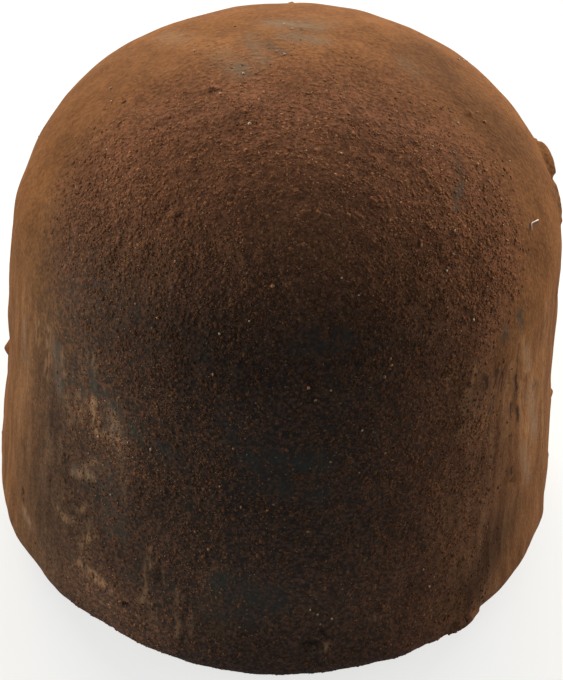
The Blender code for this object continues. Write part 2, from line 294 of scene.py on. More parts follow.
# Rubbed front: bare chocolate, darker still as painted shade where the front faces away from the lights
RUBBED_AND_SHADED_TO = 48.0
RUBBED_AND_SHADED_FADE = 20.0
RUBBED_AND_SHADED_TOP = 19.2 * MM
RUBBED_AND_SHADED_TOP_FADE = 1.9 * MM
RUBBED_AND_SHADED_LOW = 3.0 * MM
RUBBED_AND_SHADED_FULL = 10.5 * MM
RUBBED_AND_SHADED_LEFT_LOW = 0.80
# Thin powder to the left under a cooler cast, partly painted cool light of the shade
THIN_SHIFT = -28.0
THIN_TO = 44.0
THIN_FADE = 24.0
THIN_TOP = 20.6 * MM
THIN_TOP_FADE = 2.2 * MM

# Grains of cocoa: rough specks pressed partly into the crust, the coarse ones rounder
Grains = namedtuple("Grains", "name shape count across colour_low colour_high seed")
GRAINS = (
    Grains("coarse_grains", "round", 6400, (0.19, 0.33), (0.130, 0.051, 0.022), (0.218, 0.088, 0.038), 11),
    Grains("dark_grains", "sharp", 24000, (0.13, 0.22), (0.070, 0.028, 0.014), (0.128, 0.051, 0.023), 15),
    Grains("brown_grains", "sharp", 24000, (0.11, 0.20), (0.122, 0.047, 0.021), (0.200, 0.078, 0.035), 12),
    Grains("red_grains", "sharp", 20000, (0.12, 0.21), (0.162, 0.058, 0.025), (0.260, 0.098, 0.041), 13),
    Grains("tan_grains", "sharp", 8000, (0.11, 0.19), (0.225, 0.108, 0.051), (0.365, 0.198, 0.100), 14),
)
SHARP_CORNERS = ((1, 0, 0), (-1, 0, 0), (0, 1, 0), (0, -1, 0), (0, 0, 1), (0, 0, -1))
SHARP_UPPER_FACES = ((0, 2, 4), (2, 1, 4), (1, 3, 4), (3, 0, 4))
SHARP_LOWER_FACES = ((2, 0, 5), (1, 2, 5), (3, 1, 5), (0, 3, 5))
GRAIN_RAGGEDNESS = 0.34
GRAIN_FLATNESS = (0.5, 1.0)
GRAIN_HEIGHT = 0.62
GRAIN_SETTLED_HEIGHT = 0.42
GRAIN_SINK = 0.22
GRAIN_ROUGHNESS = 0.92
GRAIN_GLOSS = 0.1
CLUMP_WAVE = 0.45 * MM
CLUMP_LEAST = 0.40
CLUMP_GAIN = 1.1
CLUMP_OFFSET = 0.35
GAP_WAVE = 1.1 * MM
GAP_FROM = -0.15
GAP_FULL = 0.45
GAP_THINNING = 0.65
CALM_THINNING = 0.98
RUBBED_THINNING = 0.45
BLOOM_THINNING = 0.85
SMEAR_THINNING = 0.80
LOW_WALL = 3.0 * MM
LOW_WALL_THINNING = 0.66
# Grains darker where the front is rubbed: painted shade
GRAIN_PAINTED_SHADE = 0.26
LOWEST_GRAIN = 0.25 * MM

# Pale and tan specks on the crust, by pixel of the photograph, with their size across in
# millimetres. The swell makes up for their flattening.
PALE_SPECKS = (
    (249, 125, 0.13), (341, 153, 0.10), (220, 94, 0.10), (243, 73, 0.10), (284, 54, 0.11),
    (195, 51, 0.10), (110, 88, 0.11), (112, 102, 0.09), (106, 151, 0.10), (107, 181, 0.10),
    (250, 322, 0.11), (220, 333, 0.11), (341, 280, 0.11), (358, 294, 0.10), (432, 147, 0.10),
    (477, 112, 0.10), (460, 124, 0.10), (453, 152, 0.09), (509, 160, 0.10), (489, 180, 0.10),
    (453, 232, 0.12), (507, 224, 0.08), (472, 318, 0.11), (111, 496, 0.12), (100, 437, 0.13),
    (130, 442, 0.10), (152, 448, 0.12), (459, 61, 0.12), (463, 62, 0.11), (310, 610, 0.11),
    (316, 614, 0.09), (332, 619, 0.11), (320, 625, 0.08), (427, 586, 0.11), (422, 569, 0.11),
    (447, 272, 0.11), (453, 254, 0.11), (285, 25, 0.10), (292, 30, 0.11), (363, 429, 0.12),
)
TAN_SPECKS = (
    (272, 287, 0.16), (390, 358, 0.17), (391, 363, 0.14), (383, 376, 0.14), (308, 387, 0.15),
    (330, 389, 0.13), (317, 399, 0.13), (330, 460, 0.12), (360, 471, 0.12), (385, 454, 0.14),
    (266, 510, 0.13), (307, 531, 0.12), (234, 447, 0.12), (506, 240, 0.14), (485, 223, 0.13),
    (492, 279, 0.13), (478, 166, 0.16), (483, 121, 0.17), (503, 225, 0.10), (212, 372, 0.13),
    (240, 508, 0.13), (207, 550, 0.13), (196, 533, 0.13), (221, 486, 0.12), (158, 318, 0.14),
    (176, 262, 0.14), (420, 246, 0.14), (401, 203, 0.13), (234, 24, 0.13), (196, 103, 0.13),
)
SPECK_SEED = 21
SPECK_RAGGEDNESS = 0.22
SPECK_SINK = 0.25
PALE_SPECK_COLOUR = (0.62, 0.47, 0.32, 1.0)
TAN_SPECK_COLOUR = (0.50, 0.22, 0.085, 1.0)
SPECK_ROUGHNESS = 0.8
SPECK_SWELL = 1.25

# Bent thread of lint on the right of the dome
THREAD_PIXELS = ((530, 229), (530, 224), (531, 221), (534, 220), (537, 219))
THREAD_RADIUS = 0.030 * MM
THREAD_LIFT = 0.05 * MM
THREAD_SIDES = 6
THREAD_COLOUR = (0.72, 0.66, 0.62, 1.0)
THREAD_ROUGHNESS = 0.7

# Colours of the crust
DEEP_COCOA = (0.107, 0.042, 0.020, 1.0)
FAIR_COCOA = (0.221, 0.087, 0.041, 1.0)
TAN_COCOA = (0.300, 0.150, 0.066, 1.0)
CALM_DEEP = (0.152, 0.060, 0.018, 1.0)
CALM_FAIR = (0.236, 0.098, 0.030, 1.0)
SMEAR_DEEP = (0.115, 0.046, 0.019, 1.0)
SMEAR_FAIR = (0.285, 0.137, 0.062, 1.0)
# Rubbed front: bare chocolate, made darker as painted shade
RUBBED_AND_SHADED_COLOUR = (0.037, 0.0225, 0.014, 1.0)
# Pale film: dust, partly a painted sheen of the bright surroundings
HAZE_AND_SHEEN_COLOUR = (0.188, 0.130, 0.085, 1.0)
BLOOM_COLOUR = (0.050, 0.041, 0.027, 1.0)
# Darkest spots: partly darker cocoa, partly painted shade inside pits, chips and the notch of the foot
DARK_SPOT_AND_PIT_SHADE_COLOUR = (0.020, 0.010, 0.007, 1.0)
# Cooler cast where powder lies thin, partly painted cool light of the shade
PLAIN_CAST = (1.0, 1.0, 1.0, 1.0)
THIN_POWDER_AND_COOL_LIGHT_CAST = (0.97, 1.11, 1.28, 1.0)
CRUST_GLOSS = 0.12

# Mottling of the crust: wavelengths, and how far some of it is drawn out upright
FINE_MOTTLE = 0.16 * MM
MIDDLE_MOTTLE = 0.45 * MM
BROAD_MOTTLE = 1.6 * MM
STREAK_MOTTLE = 0.42 * MM
STREAK_STRETCH = 8.0
BREAK_MOTTLE = 0.19 * MM
BREAK_STRETCH = 4.0
GRIT_WAVE = 0.17 * MM
GRIT_STRENGTH = 0.7
GRIT_DEPTH = 0.06 * MM
GRAIN_GRIT_WAVE = 0.06 * MM
PLAIN_MOTTLE = 0.07 * MM
PLAIN_DARKEST = 0.7

# How one value of the crust is spread over another: from low to high, to low to high
Spread = namedtuple("Spread", "low high to_low to_high")
FINE_IN_POWDER = Spread(0.34, 0.66, 0.0, 0.7)
MIDDLE_IN_POWDER = Spread(0.3, 0.7, 0.0, 0.3)
BROAD_IN_CALM = Spread(0.3, 0.7, 0.0, 0.6)
MIDDLE_IN_CALM = Spread(0.3, 0.7, 0.0, 0.4)
FINE_IN_CALM = Spread(0.34, 0.66, -0.22, 0.22)
CALM_SHARE = Spread(0.2, 1.0, 0.0, 0.85)
SMEAR_BY_CALM = Spread(0.0, 0.85, 0.9, 0.4)
RUBBED_AND_SHADED_BY_POWDER = Spread(0.2, 0.8, 1.0, 0.50)
HAZE_AND_SHEEN_BY_MOTTLE = Spread(0.35, 0.65, 1.0, 0.35)
BLOOM_BY_MOTTLE = Spread(0.35, 0.70, 1.10, 0.25)
BLOOM_SHARE = Spread(0.2, 1.0, 0.0, 1.0)
TONE_BY_BREAKS = Spread(0.38, 0.60, 0.05, 1.35)
TAN_SHARE = Spread(0.08, 1.2, 0.0, 0.85)
DARK_SPOT_AND_PIT_SHADE_SHARE = Spread(-0.08, -1.0, 0.0, 0.85)
BARE_BY_BLOOM = Spread(0.25, 0.9, 0.0, 1.0)
ROUGHNESS_BY_BARE = Spread(0.0, 1.0, 0.92, 0.58)
TINT_BY_GRIT = Spread(0.3, 0.7, -0.15, 0.15)

# Lights: the side and the elevation where each stands, its height and its power. All of them
# have the same distance from the truffle, width and colour.
Panel = namedtuple("Panel", "name azimuth elevation height power")
PANELS = (
    Panel("back", 90, 20, 0.20, 1.18),
    Panel("left_back", 120, 20, 0.20, 1.72),
    Panel("right_back", 60, 20, 0.20, 1.41),
    Panel("right_rear_side", 30, 8, 0.14, 1.10),
    Panel("left_side", 180, 8, 0.14, 1.46),
    Panel("right_side", 0, 8, 0.14, 0.56),
)
PANEL_DISTANCE = 0.45
PANEL_WIDTH = 0.22
PANEL_COLOUR = (1.0, 0.89, 0.72)
LIGHT_TARGET = 12 * MM
WORLD_COLOUR = (0.63, 0.81, 1.0, 1.0)
WORLD_STRENGTH = 0.252

# Floor, and the backdrop in the colour that its far part has
FLOOR_RADIUS = 2.0
FLOOR_SIDES = 48
FLOOR_COLOUR = (0.93, 0.93, 0.92, 1.0)
FLOOR_GLOW = 0.78
FLOOR_ALBEDO = (0.30, 0.30, 0.30, 1.0)
BACKDROP_COLOUR = (0.773, 0.786, 0.794, 1.0)


def smooth_step(value, low, high):
    share = np.clip((value - low) / (high - low), 0, 1)
    return share * share * (3 - 2 * share)


def fade_out(value, edge, fade):
    """One well below an edge and nothing well above it, with a fade on either side."""
    return 1 - smooth_step(value, edge - fade, edge + fade)


def body_radius(height):
    """Radius of the turned body at each height, from the round of the foot to the top."""
    height = np.asarray(height, float)
    share = np.clip((height - SHOULDER_HEIGHT) / DOME_RISE, 0, 1)
    dome = SHOULDER_RADIUS * (1 - share**DOME_SQUARENESS) ** (1 / DOME_SQUARENESS)
    drop = (SHOULDER_HEIGHT - height) / (SHOULDER_HEIGHT - FOOT_ROUND)
    wall = SHOULDER_RADIUS + WALL_FLARE * drop
    rise = np.clip((FOOT_ROUND - height) / FOOT_ROUND, 0, 1)
    foot = FOOT_RADIUS - FOOT_ROUND + FOOT_ROUND * np.sqrt(1 - rise * rise)
    return np.where(height >= SHOULDER_HEIGHT, dome, np.where(height >= FOOT_ROUND, wall, foot))


def surface_place(azimuth, height):
    """Point on the turned body, with a frame there: round the body, up its profile, outwards."""
    around = math.radians(azimuth)
    outward = Vector((math.cos(around), math.sin(around), 0))
    reach = 0.05 * MM
    low = max(height - reach, 0.0)
    high = min(height + reach, TOTAL_HEIGHT)
    slope = Vector((float(body_radius(high) - body_radius(low)), high - low)).normalized()
    along = outward * slope.x + Vector((0, 0, slope.y))
    side = Vector((-outward.y, outward.x, 0))
    point = outward * float(body_radius(height)) + Vector((0, 0, height))
    return point, side, along, side.cross(along)


def camera_frame():
    """Camera place, its line of sight, and the directions of the picture's right and top."""
    back = Vector((0, -math.cos(CAMERA_ELEVATION), math.sin(CAMERA_ELEVATION)))
    place = Vector((0, 0, SHOULDER_HEIGHT)) + back * CAMERA_DISTANCE
    forward = (Vector((0, 0, AIM_HEIGHT)) - place).normalized()
    level = forward.cross(Vector((0, 0, 1))).normalized()
    upright = level.cross(forward)
    right = level * math.cos(CAMERA_ROLL) + upright * math.sin(CAMERA_ROLL)
    return place, forward, right, right.cross(forward)


def place_in_photo(pixel):
    """Point of the turned body that the photograph shows at a pixel."""
    place, forward, right, top = camera_frame()
    scale = SENSOR / PHOTO_HEIGHT / LENS
    across = (pixel[0] - PHOTO_WIDTH / 2) * scale
    down = (pixel[1] - PHOTO_HEIGHT / 2) * scale
    ray = np.array((forward + right * across - top * down).normalized())
    reach = np.arange(CAMERA_DISTANCE - RAY_REACH, CAMERA_DISTANCE + RAY_REACH, RAY_STEP)
    trail = np.array(place) + ray * reach[:, None]
    height = trail[:, 2]
    beyond = np.hypot(trail[:, 0], trail[:, 1]) - body_radius(height)
    beyond = np.where((height < 0) | (height > TOTAL_HEIGHT), FOOT_RADIUS, beyond)
    inside = np.flatnonzero(beyond <= 0)
    found = inside[0] if len(inside) else np.argmin(beyond)
    return trail[found]


def distance_to_line(points, start, end):
    """Distance of each point to the line from start to end, which may be a single place."""
    run = end - start
    share = np.clip((points - start) @ run / max(run @ run, ALMOST_NONE**2), 0, 1)
    return np.linalg.norm(points - start - share[:, None] * run, axis=1)


def stroke_weight(points, stroke):
    """How strongly a stroke covers each point: a bell along its line on the surface."""
    start = np.array((stroke.from_x, stroke.from_y), float)
    end = np.array((stroke.to_x, stroke.to_y), float)
    knots = [place_in_photo(start + (end - start) * s) for s in np.linspace(0, 1, STROKE_POINTS)]
    nearest = np.full(len(points), 1.0)
    for first, second in zip(knots, knots[1:]):
        nearest = np.minimum(nearest, distance_to_line(points, first, second))
    return stroke.strength * np.exp(-((nearest / (stroke.half_width * MM)) ** 2))


def strongest_stroke(points, rows):
    weight = np.zeros(len(points))
    for stroke in rows:
        weight = np.maximum(weight, stroke_weight(points, stroke))
    return weight


def noise_at(points, wave, length=None, shift=0.0):
    """Smooth noise of a wavelength at each point, drawn out upright where a length is given."""
    scale = np.array((1 / wave, 1 / wave, 1 / (length or wave)))
    return np.array([noise.noise(Vector(place)) for place in points * scale + shift])


def profile_rows():
    """Radius and height of each row of the body, from below the top down to the base."""
    rows = []
    power = 2 / DOME_SQUARENESS
    for step in range(1, DOME_ROWS):
        angle = math.pi / 2 * step / DOME_ROWS
        radius = SHOULDER_RADIUS * math.sin(angle) ** power
        rows.append((radius, SHOULDER_HEIGHT + DOME_RISE * math.cos(angle) ** power))
    for step in range(WALL_ROWS):
        height = SHOULDER_HEIGHT - (SHOULDER_HEIGHT - FOOT_ROUND) * step / WALL_ROWS
        rows.append((float(body_radius(height)), height))
    for step in range(FOOT_ROWS + 1):
        angle = math.pi / 2 * step / FOOT_ROWS
        radius = FOOT_RADIUS - FOOT_ROUND + FOOT_ROUND * math.cos(angle)
        rows.append((radius, FOOT_ROUND - FOOT_ROUND * math.sin(angle)))
    flat_radius = FOOT_RADIUS - FOOT_ROUND
    for step in range(1, BASE_ROWS):
        rows.append((flat_radius * (1 - step / BASE_ROWS), 0.0))
    return np.array(rows)


def turned_points():
    """Points of the smooth turned body: the top, every row in turn, and the middle of the base."""
    rows = profile_rows()
    turns = np.linspace(0, math.tau, AROUND, endpoint=False)
    ring = np.stack([np.cos(turns), np.sin(turns)], axis=1)
    radii = np.repeat(rows[:, 0], AROUND)
    heights = np.repeat(rows[:, 1], AROUND)
    spread = np.tile(ring, (len(rows), 1)) * radii[:, None]
    body = np.column_stack([spread, heights])
    return np.vstack([[0, 0, TOTAL_HEIGHT], body, [0, 0, 0]])


def body_faces(row_count):
    """Quads between the rows, and a fan of triangles at the top and at the middle of the base."""
    column = np.arange(AROUND)
    following = (column + 1) % AROUND
    quads = []
    for row in range(row_count - 1):
        upper = 1 + row * AROUND
        lower = upper + AROUND
        corners = [upper + column, lower + column, lower + following, upper + following]
        quads.append(np.column_stack(corners))
    last = 1 + (row_count - 1) * AROUND
    middle = last + AROUND
    top_fan = np.column_stack([np.zeros(AROUND, int), 1 + column, 1 + following])
    base_fan = np.column_stack([last + column, np.full(AROUND, middle), last + following])
    return np.vstack(quads), np.vstack([top_fan, base_fan])


def outward_directions(points):
    """Direction out of the turned body at each point: level at the foot, so the base stays flat."""
    reach = 0.02 * MM
    height = points[:, 2]
    low = np.maximum(height - reach, 0)
    high = np.minimum(height + reach, TOTAL_HEIGHT)
    slope = (body_radius(high) - body_radius(low)) / (high - low)
    slope = np.where(height < FOOT_ROUND, 0, slope)
    radius = np.maximum(np.hypot(points[:, 0], points[:, 1]), ALMOST_NONE)
    level = points[:, :2] / radius[:, None]
    directions = np.column_stack([level, -slope])
    directions[0] = (0, 0, 1)
    lengths = np.maximum(np.linalg.norm(directions, axis=1), ALMOST_NONE)
    return directions / lengths[:, None]


def crumb_marks():
    """The crumbs of the solid, from the same draws: those for the flakes' facets come first."""
    rng = random.Random(CRUMB_SEED)
    for _ in range(len(FLAKES) * FLAKE_FACET_DRAWS):
        rng.random()
    taken = [surface_place(mark.azimuth, mark.height)[0] for mark in FLAKES + PITS]
    crumbs = []
    for index in range(CRUMB_COUNT):
        for _ in range(CRUMB_TRIES):
            azimuth = index * GOLDEN_ANGLE + rng.uniform(-AZIMUTH_SPREAD, AZIMUTH_SPREAD)
            share = (index + rng.random()) / CRUMB_COUNT
            height = CRUMB_LOWEST + (CRUMB_HIGHEST - CRUMB_LOWEST) * share
            point = surface_place(azimuth, height)[0]
            if all((point - other).length > CRUMB_CLEARANCE for other in taken):
                taken.append(point)
                reach = rng.uniform(*CRUMB_HALF_SIZES)
                half_size = (reach, reach * rng.uniform(CRUMB_FLATNESS, 1), reach * CRUMB_FLATNESS)
                rise = half_size[2] * CRUMB_SHARE_OUT * MM
                turn = rng.uniform(0, 180)
                crumbs.append(Mark("crumb", azimuth, height, half_size, rise, turn))
                break
    return crumbs


def mark_reach(points, mark, rag):
    """Which points lie over a mark, and how far its surface stands from the body there."""
    point, side, along, outward = surface_place(mark.azimuth, mark.height)
    half_size = np.array(mark.half_size) * MM
    spin = Matrix.Rotation(math.radians(mark.turn), 3, "Z")
    axes = np.array(Matrix((side, along, outward)).transposed() @ spin)
    away = np.linalg.norm(points - np.array(point), axis=1)
    near = np.flatnonzero(away < half_size.max() * MARK_SEARCH)
    local = (points[near] - np.array(point)) @ axes
    spread = (local[:, 0] / half_size[0]) ** 2 + (local[:, 1] / half_size[1]) ** 2
    spread *= (1 + MARK_RAGGEDNESS * rag[near]) ** 2
    over = spread < 1
    sign = math.copysign(1, mark.rise)
    crest = mark.rise + sign * half_size[2] * (np.sqrt(1 - spread[over]) - 1)
    return near[over], crest - local[over, 2]


def solid_relief(points):
    """Unevenness of the solid: broad waves, crust, scuffs, chips of the foot, and swells."""
    height = points[:, 2]
    rise = BROAD_DEPTH * noise_at(points, BROAD_WAVE) + CRUST_DEPTH * noise_at(points, CRUST_WAVE)
    rise += np.where(height < SHOULDER_HEIGHT, SCUFF_DEPTH, 0) * noise_at(points, SCUFF_WAVE, SCUFF_LENGTH)
    rise += np.where(height < FOOT_ROUND, FOOT_CHIP_DEPTH, 0) * noise_at(points, FOOT_CHIP_WAVE)
    for swell in SWELLS:
        start = np.array(surface_place(*swell.start)[0])
        end = np.array(surface_place(*swell.end)[0])
        away = distance_to_line(points, start, end) / swell.half_width
        rise += swell.rise * np.exp(-(away**2))
    return rise


def side_angle(points, shift=0.0):
    """Degrees round the body from the front, or from a turn away from it, to each point."""
    angle = np.degrees(np.arctan2(points[:, 1], points[:, 0])) - FRONT_AZIMUTH - shift
    return (angle + 180) % 360 - 180


def crust_state(points, outward):
    """How far each point is bloomed, hazy with dust and painted sheen, paler or darker, painted lighter or
    darker by light and shade, smeared, rubbed bare and painted in shade, thin of powder under a partly
    painted cool cast, and calm.
    """
    from_front = np.abs(side_angle(points))
    height = points[:, 2]
    smear = smooth_step(from_front, SMEAR_FROM, SMEAR_FULL)
    smear *= fade_out(height, SMEAR_TOP, SMEAR_FADE)
    smear *= 1 - (1 - SMEAR_BEHIND) * smooth_step(from_front, SMEAR_PAST, SMEAR_GONE)
    # Rubbed front: bare chocolate, with painted shade where the front faces away from the lights
    rubbed_and_shaded = fade_out(np.abs(side_angle(points, RUBBED_AND_SHADED_SHIFT)), RUBBED_AND_SHADED_TO, RUBBED_AND_SHADED_FADE)
    rubbed_and_shaded *= fade_out(height, RUBBED_AND_SHADED_TOP, RUBBED_AND_SHADED_TOP_FADE)
    rubbed_and_shaded *= RUBBED_AND_SHADED_LEFT_LOW + (1 - RUBBED_AND_SHADED_LEFT_LOW) * smooth_step(height, RUBBED_AND_SHADED_LOW, RUBBED_AND_SHADED_FULL)
    facing = np.array((0, -math.cos(CAMERA_ELEVATION), math.sin(CAMERA_ELEVATION)))
    turned_away = np.degrees(np.arccos(np.clip(outward @ facing, -1, 1)))
    on_wall = fade_out(height, SHOULDER_HEIGHT, CALM_WALL_FADE)
    calm_from = CALM_FROM + (CALM_WALL_FROM - CALM_FROM) * on_wall
    calm_full = CALM_FULL + (CALM_WALL_FULL - CALM_FULL) * on_wall
    calm = smooth_step(turned_away, calm_from, calm_full)
    calm *= 1 - (1 - CALM_BEHIND) * smooth_step(turned_away, CALM_PAST, CALM_GONE)
    # Thin powder, where a cooler cast stands partly for the cool light of the shade
    thin = fade_out(np.abs(side_angle(points, THIN_SHIFT)), THIN_TO, THIN_FADE)
    thin *= fade_out(height, THIN_TOP, THIN_TOP_FADE)
    return {
        "bloom": strongest_stroke(points, BLOOM),
        # pale dust, partly painted sheen
        "haze_and_sheen": strongest_stroke(points, HAZE_AND_SHEEN),
        "tone": np.clip(sum(stroke_weight(points, stroke) for stroke in TONE), -1, 1),
        # painted light and shade, as a share lighter or darker
        "painted_light_and_shade": sum(stroke_weight(points, stroke) for stroke in PAINTED_LIGHT_AND_SHADE),
        "smear": smear,
        "rubbed_and_shaded": rubbed_and_shaded,
        "calm": calm,
        "thin": thin,
    }


def settled_share(points):
    """How settled the powder lies at each point: loose below, flat towards the top."""
    return smooth_step(points[:, 2], SETTLED_FROM, SETTLED_FULL)


def crag_relief(points, state):
    """Crags of the crust, faint where it is bare or rubbed, and drawn out where it is smeared."""
    left = 1 - CRAG_CALM_LOSS * state["calm"]
    left *= 1 - CRAG_RUBBED_LOSS * state["rubbed_and_shaded"]
    left *= 1 - CRAG_BLOOM_LOSS * state["bloom"]
    left *= 1 - SETTLED_SHARE * settled_share(points)
    rise = sum(depth * noise_at(points, wave, shift=3.7) for wave, depth in CRAG_WAVES) * left
    smeared = state["smear"] * (1 - SMEAR_CALM_LOSS * state["calm"])
    rise += SMEAR_DEPTH * smeared * noise_at(points, SMEAR_WAVE, SMEAR_LENGTH, shift=9.1)
    return rise


def fill_mesh(mesh, points, polygons):
    """Puts points and polygons, as arrays of corner numbers, into an empty mesh."""
    corners = np.concatenate([polygon.ravel() for polygon in polygons])
    sizes = np.concatenate([np.full(len(polygon), polygon.shape[1]) for polygon in polygons])
    mesh.vertices.add(len(points))
    mesh.vertices.foreach_set("co", points.astype(np.float32).ravel())
    mesh.loops.add(len(corners))
    mesh.loops.foreach_set("vertex_index", corners.astype(np.int32))
    mesh.polygons.add(len(sizes))
    mesh.polygons.foreach_set("loop_start", np.concatenate([[0], np.cumsum(sizes)[:-1]]).astype(np.int32))
    mesh.update(calc_edges=True)
    mesh.validate()


def add_piece(name, points, polygons, material):
    """New object of the truffle, riding on its one body."""
    mesh = bpy.data.meshes.new(name)
    fill_mesh(mesh, points, polygons)
    mesh.materials.append(material)
    made = bpy.data.objects.new(name, mesh)
    bpy.context.scene.collection.objects.link(made)
    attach(made, "root")
    return made


def add_values(mesh, name, values):
    layer = mesh.attributes.new(name, "FLOAT", "POINT")
    layer.data.foreach_set("value", values.astype(np.float32))


def add_node(tree, kind, inputs, **settings):
    """New shader node: each input is a value, or the socket that feeds it."""
    made = tree.nodes.new(kind)
    for name, value in settings.items():
        setattr(made, name, value)
    for name, value in inputs.items():
        if isinstance(value, bpy.types.NodeSocket):
            tree.links.new(value, made.inputs[name])
        else:
            made.inputs[name].default_value = value
    return made


def noise_node(tree, coords, wave, detail=2.0, stretch=1.0, shift=0.0):
    """Noise of a real wavelength in space, drawn out upright by a stretch."""
    scale = (1.0, 1.0, 1.0 / stretch)
    mapping = {"Vector": coords, "Scale": scale, "Location": (shift, shift, shift)}
    placed = add_node(tree, "ShaderNodeMapping", mapping)
    inputs = {"Vector": placed.outputs["Vector"], "Scale": 1 / wave, "Detail": detail}
    return add_node(tree, "ShaderNodeTexNoise", inputs).outputs["Fac"]


def attribute_node(tree, name):
    return add_node(tree, "ShaderNodeAttribute", {}, attribute_name=name).outputs["Fac"]


def ramp_node(tree, value, stops):
    """Colour ramp through the given places and colours."""
    made = add_node(tree, "ShaderNodeValToRGB", {"Fac": value})
    ramp = made.color_ramp
    while len(ramp.elements) < len(stops):
        ramp.elements.new(1.0)
    for element, (place, colour) in zip(ramp.elements, stops):
        element.position = place
        element.color = colour
    return made.outputs["Color"]


def mix_node(tree, share, first, second):
    inputs = {"Fac": share, "Color1": first, "Color2": second}
    return add_node(tree, "ShaderNodeMixRGB", inputs).outputs["Color"]


def range_node(tree, value, spread):
    inputs = dict(zip(("From Min", "From Max", "To Min", "To Max"), spread))
    return add_node(tree, "ShaderNodeMapRange", {"Value": value, **inputs}).outputs["Result"]


def patch_node(tree, name, value, spread):
    """How far a patch of the crust shows: its own share, broken up by another value."""
    return math_node(tree, "MULTIPLY", attribute_node(tree, name), range_node(tree, value, spread))


def shaded(tree, colour):
    """The colour, lighter or darker by the painted light and shade of its place, and cooler where powder
    lies thin, a cast that is partly painted cool light of the shade.
    """
    share = math_node(tree, "ADD", attribute_node(tree, "painted_light_and_shade"), 1.0)
    scaled = add_node(tree, "ShaderNodeVectorMath", {}, operation="SCALE")
    tree.links.new(colour, scaled.inputs[0])
    tree.links.new(share, scaled.inputs["Scale"])
    made = add_node(tree, "ShaderNodeVectorMath", {}, operation="MULTIPLY")
    tree.links.new(scaled.outputs["Vector"], made.inputs[0])
    # Cooler cast where powder lies thin, partly painted cool light of the shade
    tree.links.new(mix_node(tree, attribute_node(tree, "thin"), PLAIN_CAST, THIN_POWDER_AND_COOL_LIGHT_CAST), made.inputs[1])
    return made.outputs["Vector"]


def math_node(tree, operation, first, second):
    made = add_node(tree, "ShaderNodeMath", {}, operation=operation)
    for socket, value in zip(made.inputs, (first, second)):
        if isinstance(value, bpy.types.NodeSocket):
            tree.links.new(value, socket)
        else:
            socket.default_value = value
    return made.outputs["Value"]


def new_material(name):
    made = bpy.data.materials.new(name)
    made.use_nodes = True
    tree = made.node_tree
    shader = tree.nodes["Principled BSDF"]
    coords = add_node(tree, "ShaderNodeTexCoord", {}).outputs["Object"]
    return made, tree, shader, coords


def crust_material():
    """Cocoa over chocolate: mottled powder, smeared streaks, rubbed patches darkened further as painted
    shade, haze that is partly painted sheen, bloomed patches, and painted light and shade.
    """
    made, tree, shader, coords = new_material("cocoa_crust_dressed")
    fine = noise_node(tree, coords, FINE_MOTTLE, detail=2.0)
    middle = noise_node(tree, coords, MIDDLE_MOTTLE, detail=3.0, shift=4.0)
    broad = noise_node(tree, coords, BROAD_MOTTLE, detail=3.0, shift=2.0)
    streak = noise_node(tree, coords, STREAK_MOTTLE, detail=4.0, stretch=STREAK_STRETCH)
    breaks = noise_node(tree, coords, BREAK_MOTTLE, detail=3.0, stretch=BREAK_STRETCH, shift=7.0)
    loose = range_node(tree, fine, FINE_IN_POWDER)
    loose = math_node(tree, "ADD", loose, range_node(tree, middle, MIDDLE_IN_POWDER))
    powder = ramp_node(tree, loose, ((0.2, DEEP_COCOA), (0.8, FAIR_COCOA)))
    soft = range_node(tree, broad, BROAD_IN_CALM)
    soft = math_node(tree, "ADD", soft, range_node(tree, middle, MIDDLE_IN_CALM))
    soft = math_node(tree, "ADD", soft, range_node(tree, fine, FINE_IN_CALM))
    calm_powder = ramp_node(tree, soft, ((0.15, CALM_DEEP), (0.85, CALM_FAIR)))
    calm = range_node(tree, attribute_node(tree, "calm"), CALM_SHARE)
    colour = mix_node(tree, calm, powder, calm_powder)
    smeared = ramp_node(tree, streak, ((0.36, SMEAR_DEEP), (0.64, SMEAR_FAIR)))
    colour = mix_node(tree, patch_node(tree, "smear", calm, SMEAR_BY_CALM), colour, smeared)
    # Rubbed front: bare chocolate and painted shade
    rubbed_and_shaded = patch_node(tree, "rubbed_and_shaded", loose, RUBBED_AND_SHADED_BY_POWDER)
    colour = mix_node(tree, rubbed_and_shaded, colour, RUBBED_AND_SHADED_COLOUR)
    # Pale film: dust, partly a painted sheen
    haze_and_sheen = patch_node(tree, "haze_and_sheen", middle, HAZE_AND_SHEEN_BY_MOTTLE)
    colour = mix_node(tree, haze_and_sheen, colour, HAZE_AND_SHEEN_COLOUR)
    bloom = patch_node(tree, "bloom", middle, BLOOM_BY_MOTTLE)
    colour = mix_node(tree, range_node(tree, bloom, BLOOM_SHARE), colour, BLOOM_COLOUR)
    tone = patch_node(tree, "tone", breaks, TONE_BY_BREAKS)
    colour = mix_node(tree, range_node(tree, tone, TAN_SHARE), colour, TAN_COCOA)
    # Dark spots: partly darker cocoa, partly painted shade inside pits and chips
    colour = mix_node(tree, range_node(tree, tone, DARK_SPOT_AND_PIT_SHADE_SHARE), colour, DARK_SPOT_AND_PIT_SHADE_COLOUR)
    # Painted light and shade, and the cooler cast, go over the colour
    tree.links.new(shaded(tree, colour), shader.inputs["Base Color"])
    bare = math_node(tree, "MAXIMUM", range_node(tree, bloom, BARE_BY_BLOOM), rubbed_and_shaded)
    tree.links.new(range_node(tree, bare, ROUGHNESS_BY_BARE), shader.inputs["Roughness"])
    shader.inputs["Specular IOR Level"].default_value = CRUST_GLOSS
    grit = noise_node(tree, coords, GRIT_WAVE, detail=2.5, shift=5.0)
    relief = {"Height": grit, "Strength": GRIT_STRENGTH, "Distance": GRIT_DEPTH}
    bump = add_node(tree, "ShaderNodeBump", relief)
    tree.links.new(bump.outputs["Normal"], shader.inputs["Normal"])
    return made


